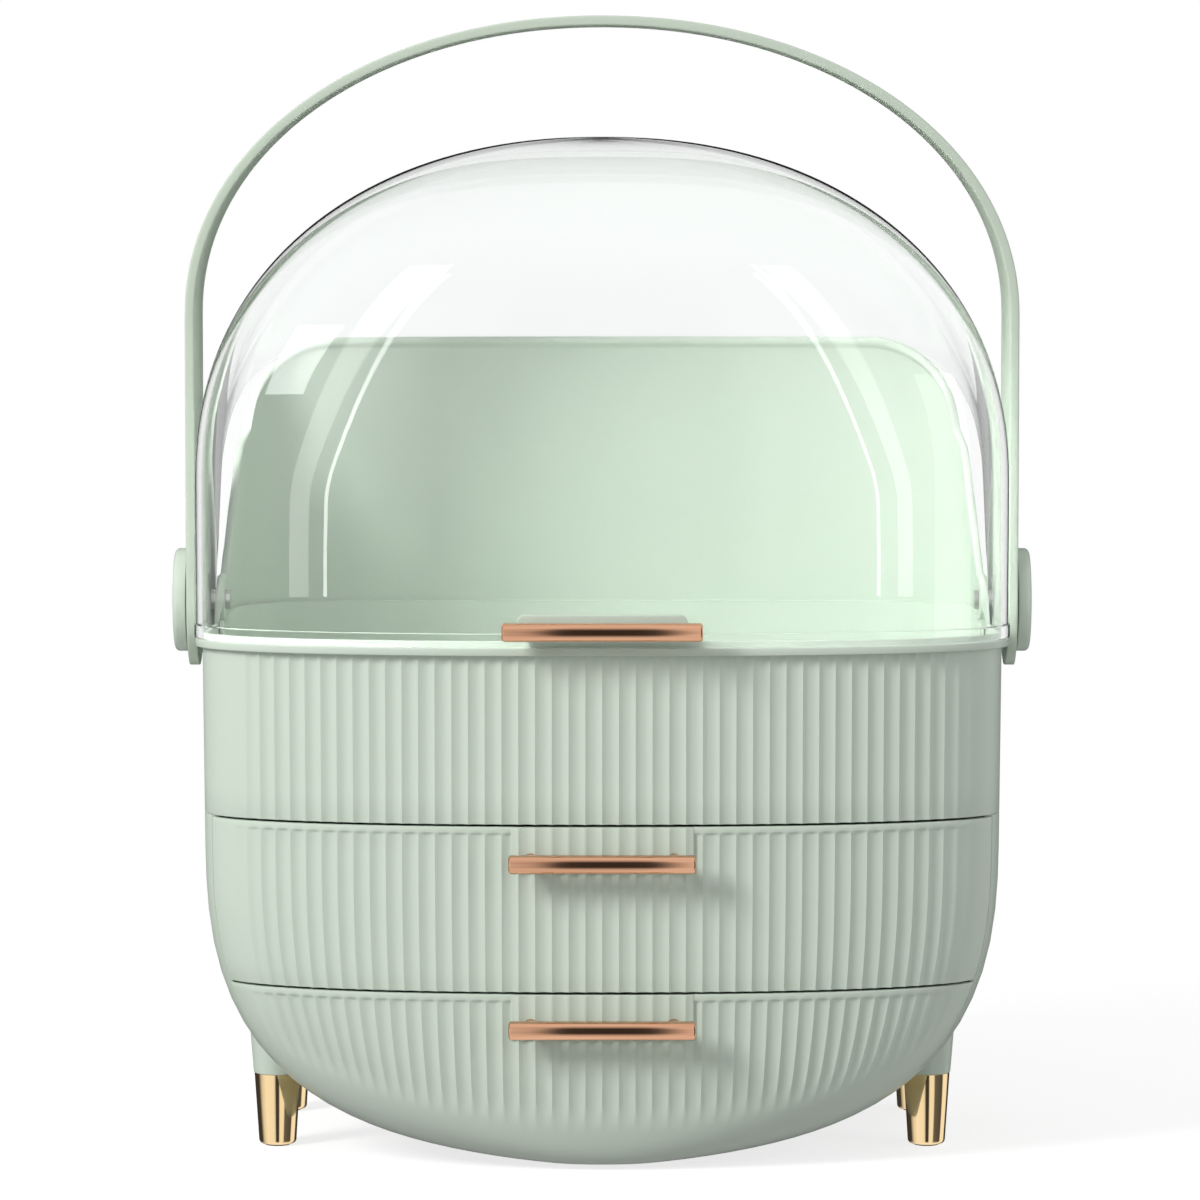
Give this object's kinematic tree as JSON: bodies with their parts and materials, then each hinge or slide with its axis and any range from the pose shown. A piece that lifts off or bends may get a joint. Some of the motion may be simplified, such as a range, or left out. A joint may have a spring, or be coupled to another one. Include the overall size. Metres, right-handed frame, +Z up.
{
  "type": "makeup organizer",
  "caption": "Egg-shaped tabletop makeup organizer: fluted body with sliding drawers, clear dome lid that swings back, and a folding carry handle.",
  "frame": {"origin": "centre of the overall box, on the surface it stands on", "axes": "+Z up, +Y to the rear, drawers open towards -Y, +X to the right seen from the front"},
  "size_m": [0.3222, 0.1989, 0.4228],
  "materials": {
    "body_plastic": "satin",
    "drawer_plastic": "satin",
    "handle_plastic": "satin",
    "clear_acrylic": "clear polished",
    "rose_gold": "brushed plated",
    "gold": "polished plated",
    "steel": "zinc plated",
    "washer_plastic": "matte",
    "pad_rubber": "matte"
  },
  "bodies": {
    "root": {"back_wall": "body_plastic", "casing": "body_plastic", "foot_cap_front_left": "gold", "foot_cap_front_right": "gold", "foot_cap_rear_left": "gold", "foot_cap_rear_right": "gold", "foot_pads": "pad_rubber", "handle_washers": "washer_plastic", "leg_stem_front_left": "body_plastic", "leg_stem_front_right": "body_plastic", "leg_stem_rear_left": "body_plastic", "leg_stem_rear_right": "body_plastic", "leg_studs": "steel", "lid_washers": "washer_plastic", "pivot_cap_left": "body_plastic", "pivot_cap_right": "body_plastic", "pivot_pins": "steel", "pivot_screws": "steel", "tray_screws": "steel", "upper_tray": "body_plastic"},
    "lid": {"lid_dome": "clear_acrylic", "lid_pull_base": "body_plastic", "lid_pull_bar": "rose_gold", "lid_pull_screws": "steel"},
    "handle": {"carry_handle": "handle_plastic"},
    "upper_drawer": {"upper_drawer_front": "body_plastic", "upper_drawer_box": "drawer_plastic", "upper_drawer_pull_base": "body_plastic", "upper_drawer_pull_bar": "rose_gold", "upper_drawer_pull_screws": "steel"},
    "lower_drawer": {"lower_drawer_front": "body_plastic", "lower_drawer_box": "drawer_plastic", "lower_drawer_pull_base": "body_plastic", "lower_drawer_pull_bar": "rose_gold", "lower_drawer_pull_screws": "steel"}
  },
  "joints": [
    {"name": "lid_swing", "type": "hinge", "parent": "root", "child": "lid", "pos_m": [0, 0.00725, 0.2036], "axis": [-1, 0, 0], "range_deg": [0, 65]},
    {"name": "handle_swing", "type": "hinge", "parent": "root", "child": "handle", "pos_m": [0, 0.00725, 0.2036], "axis": [-1, 0, 0], "range_deg": [-90, 90]},
    {"name": "upper_drawer_slide", "type": "slide", "parent": "root", "child": "upper_drawer", "axis": [0, -1, 0], "range_m": [0, 0.11]},
    {"name": "lower_drawer_slide", "type": "slide", "parent": "root", "child": "lower_drawer", "axis": [0, -1, 0], "range_m": [0, 0.1]}
  ]
}
